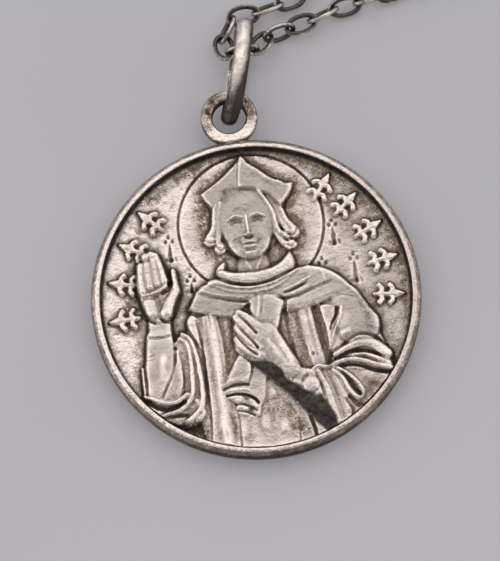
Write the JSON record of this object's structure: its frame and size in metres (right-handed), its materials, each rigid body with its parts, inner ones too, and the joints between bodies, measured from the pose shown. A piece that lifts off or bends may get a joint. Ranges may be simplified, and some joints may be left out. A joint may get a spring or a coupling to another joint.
{
  "type": "religious medal pendant on a neck chain",
  "caption": "Round struck silver medal with a haloed robed half figure in relief, a soldered hanging loop, a long flat-band bail and an oval-link neck chain.",
  "frame": {"origin": "centre of the medal's back face", "axes": "+Z leaves the medal's front, +Y runs from the centre to the hanging loop, +X to the right of the figure as seen"},
  "size_m": [0.1199, 0.1589, 0.0034],
  "materials": {
    "aged_silver": "worn bright on the relief, brown patina in the hollows",
    "band_silver": "polished band, slightly scratched",
    "oxidised_silver": "dark oxidised, worn edges"
  },
  "bodies": {
    "root": {"medal": "aged_silver", "bail": "band_silver", "chain": "oxidised_silver", "clasp": "oxidised_silver"}
  },
  "joints": []
}
